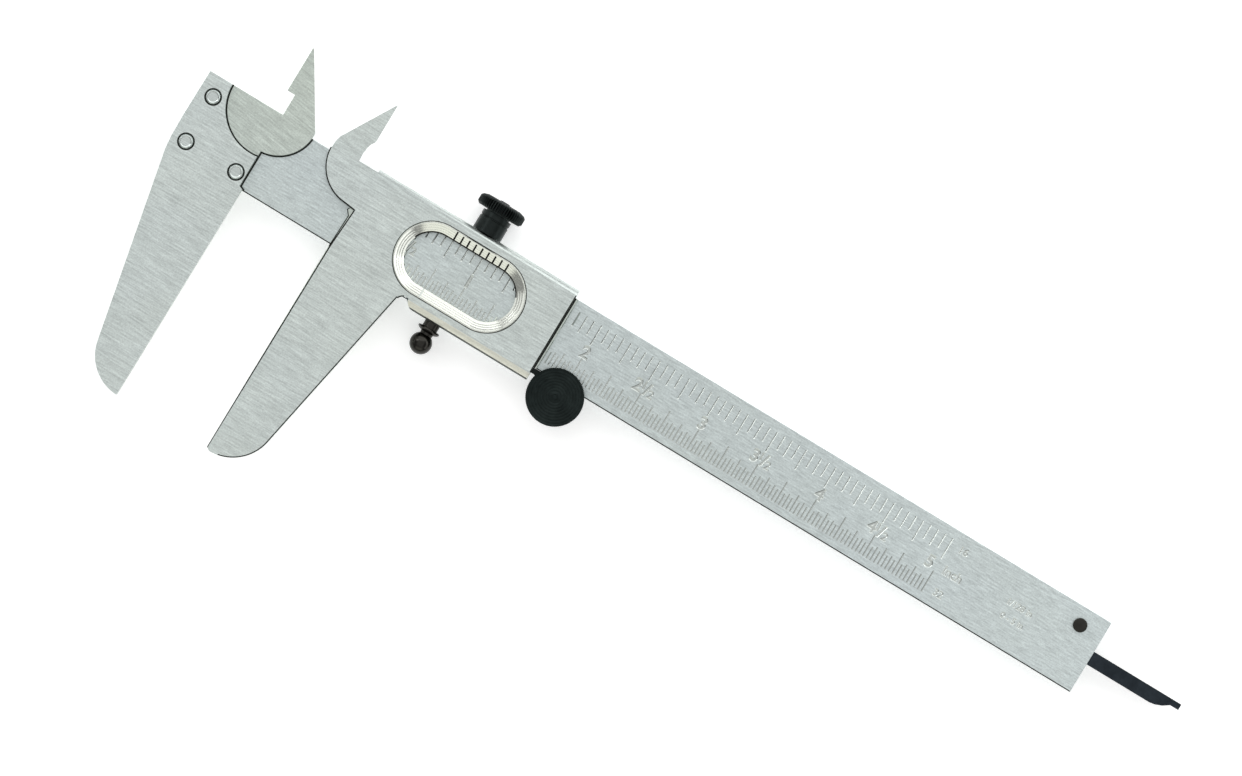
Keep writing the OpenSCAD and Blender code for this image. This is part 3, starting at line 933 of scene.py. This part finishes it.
def paint_hidden_nodes():
    """Pieces that stay as the CAD made them get their metal."""
    finishes = {"gib_spring": blued_steel, "axle_clip": blued_steel, "lock_shoe": brass,
                "roller_axle": bright_steel, "rod_rivet_1": bright_steel, "rod_rivet_2": bright_steel}
    for node, material in finishes.items():
        holder = frame["nodes"][node]
        for place in holder.material_slots:
            place.material = material


# ---------------------------------------------------------------- stage
def make_stage():
    bm = bmesh.new()
    bmesh.ops.create_grid(bm, x_segments=1, y_segments=1, size=FLOOR_HALF)
    floor_mesh = mesh_from(bm, "floor")
    floor_mesh.transform(Matrix.Translation((FLOOR_X, 0, cad_low.z)))
    material, _, shader = new_material("floor_white")
    shader.inputs["Base Color"].default_value = (FLOOR_GREY, FLOOR_GREY, FLOOR_GREY, 1)
    shader.inputs["Roughness"].default_value = 0.9
    shader.inputs["Emission Color"].default_value = (1, 1, 1, 1)
    shader.inputs["Emission Strength"].default_value = FLOOR_GLOW
    new_object("floor", floor_mesh, material)

    world = bpy.data.worlds.new("studio")
    bpy.context.scene.world = world
    world.use_nodes = True
    sky = world.node_tree.nodes["Background"]
    sky.inputs["Color"].default_value = (1, 1, 1, 1)
    sky.inputs["Strength"].default_value = WORLD_LIGHT

    middle = (cad_low + cad_high) / 2
    for name, azimuth, elevation, distance, width, height, radiance, tint in LAMPS:
        lamp = bpy.data.lights.new(name, "AREA")
        lamp.shape = "RECTANGLE"
        lamp.size = width
        lamp.size_y = height
        lamp.color = tint
        lamp.energy = radiance * math.pi * width * height
        rise = Matrix.Rotation(math.radians(elevation), 4, "X")
        offset = Matrix.Rotation(math.radians(azimuth - 90), 4, "Z") @ rise @ Vector((0, distance, 0))
        holder = bpy.data.objects.new(name, lamp)
        bpy.context.scene.collection.objects.link(holder)
        holder.location = middle + offset
        holder.rotation_euler = (-offset).to_track_quat("-Z", "Y").to_euler()
        holder.visible_camera = False
    bpy.context.scene.view_settings.view_transform = "Standard"


def make_camera():
    lens = bpy.data.cameras.new("camera")
    lens.sensor_width = SENSOR
    lens.lens = SENSOR * CAMERA_HEIGHT / (PHOTO_WIDTH * MM)
    holder = bpy.data.objects.new("camera", lens)
    bpy.context.scene.collection.objects.link(holder)
    holder.location = (PHOTO_CENTRE[0] * MM, PHOTO_CENTRE[1] * MM, CAMERA_HEIGHT + FACE_HEIGHT)
    holder.rotation_euler = (0, 0, PHOTO_ROLL)
    bpy.context.scene.camera = holder


make_beam()
make_plates()
make_edge_lines()
make_bezel()
make_rivets()
make_stop_pin()
make_roller()
make_lock_screw()
make_bushing()
make_knob()
paint_hidden_nodes()
make_stage()
make_camera()
